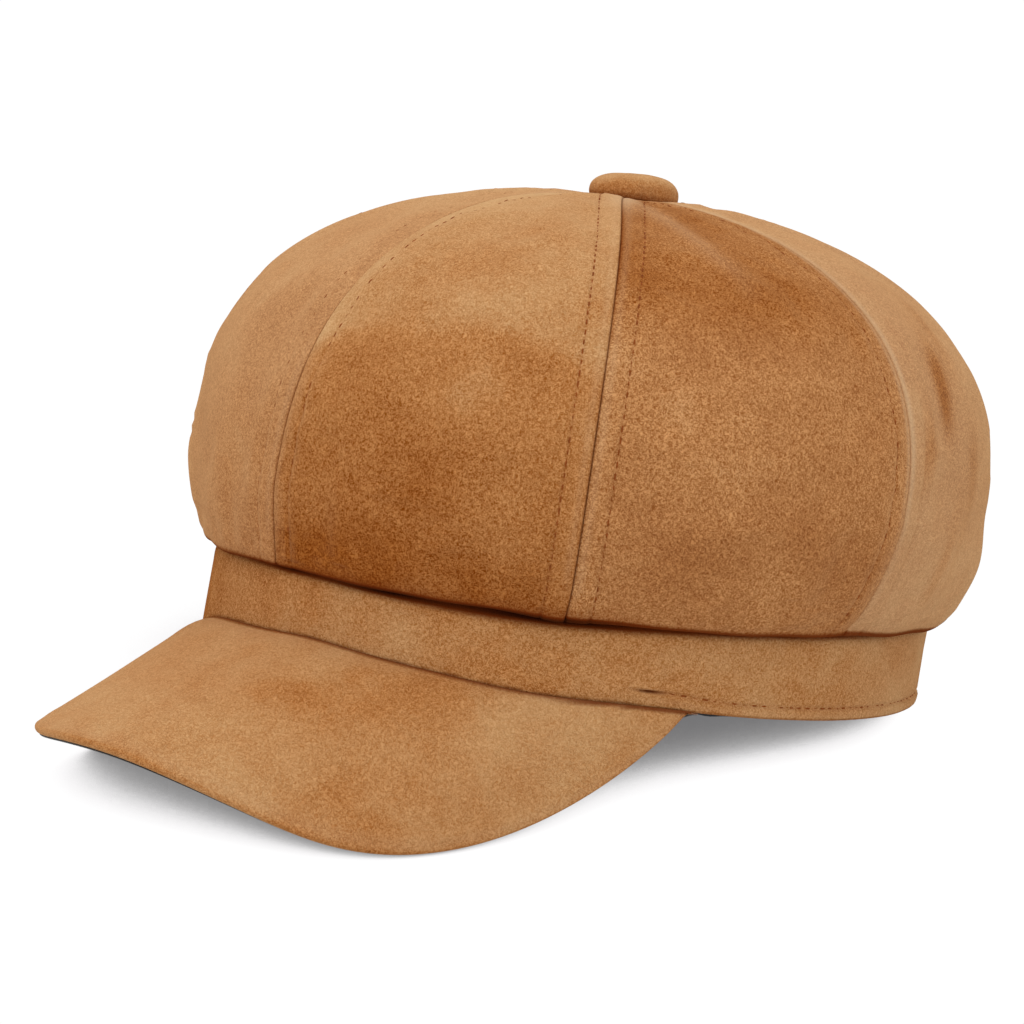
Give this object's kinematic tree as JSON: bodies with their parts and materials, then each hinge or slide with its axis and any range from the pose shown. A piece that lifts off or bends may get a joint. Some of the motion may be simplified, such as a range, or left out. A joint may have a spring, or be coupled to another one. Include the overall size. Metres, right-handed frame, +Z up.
{
  "type": "newsboy cap",
  "caption": "Soft newsboy cap: full panelled crown with a covered button, turned over a stiffened band, and a curved stiff visor.",
  "frame": {"origin": "centre of the head opening, in the plane of the band's hem", "axes": "+Z up as the cap stands on a table on its nape hem and the visor's side edges; -Y towards the forehead and visor, +X towards the wearer's left. The band's own plane leans back 11.31 degrees about X, so its forehead side is the higher one."},
  "size_m": [0.2164, 0.2733, 0.144],
  "materials": {
    "napped_fabric": "camel napped faux suede",
    "under_cloth": "black undervisor cloth",
    "lining_satin": "black lining satin",
    "sweatband_cloth": "black grosgrain sweatband",
    "stiffener_tape": "woven stiffening tape",
    "label_tape": "blank woven size tab",
    "sewing_thread": "tan sewing thread",
    "visor_board": "moulded visor board",
    "button_metal": "stamped sheet"
  },
  "bodies": {
    "band": {"crown_panel_front_left": "napped_fabric", "crown_panel_side_front_left": "napped_fabric", "crown_panel_side_rear_left": "napped_fabric", "crown_panel_rear_left": "napped_fabric", "crown_panel_rear_right": "napped_fabric", "crown_panel_side_rear_right": "napped_fabric", "crown_panel_side_front_right": "napped_fabric", "crown_panel_front_right": "napped_fabric", "lining_panel_front_left": "lining_satin", "lining_panel_side_front_left": "lining_satin", "lining_panel_side_rear_left": "lining_satin", "lining_panel_rear_left": "lining_satin", "lining_panel_rear_right": "lining_satin", "lining_panel_side_rear_right": "lining_satin", "lining_panel_side_front_right": "lining_satin", "lining_panel_front_right": "lining_satin", "outer_band": "napped_fabric", "band_stiffener": "stiffener_tape", "sweatband": "sweatband_cloth", "size_label": "label_tape", "crown_topstitch": "sewing_thread", "hem_topstitch": "sewing_thread"},
    "visor": {"visor_top_cover": "napped_fabric", "visor_board": "visor_board", "visor_under_cover": "under_cloth"},
    "button": {"button_cover": "napped_fabric", "button_shell": "button_metal", "button_back": "button_metal", "button_washer": "button_metal"}
  },
  "joints": [
    {"name": "visor_tilt", "type": "hinge", "parent": "band", "child": "visor", "pos_m": [0, -0.07648, 0.0153], "axis": [-1, 0, 0], "range_deg": [-3, 14], "stiffness_Nm_per_rad": 1.5},
    {"name": "crown_press", "type": "slide", "parent": "band", "child": "button", "axis": [0, -0.1961, -0.9806], "range_m": [0, 0.0627], "stiffness_N_per_m": 15, "deforming": ["crown_panel_front_left", "crown_panel_side_front_left", "crown_panel_side_rear_left", "crown_panel_rear_left", "crown_panel_rear_right", "crown_panel_side_rear_right", "crown_panel_side_front_right", "crown_panel_front_right", "lining_panel_front_left", "lining_panel_side_front_left", "lining_panel_side_rear_left", "lining_panel_rear_left", "lining_panel_rear_right", "lining_panel_side_rear_right", "lining_panel_side_front_right", "lining_panel_front_right", "crown_topstitch"]}
  ]
}
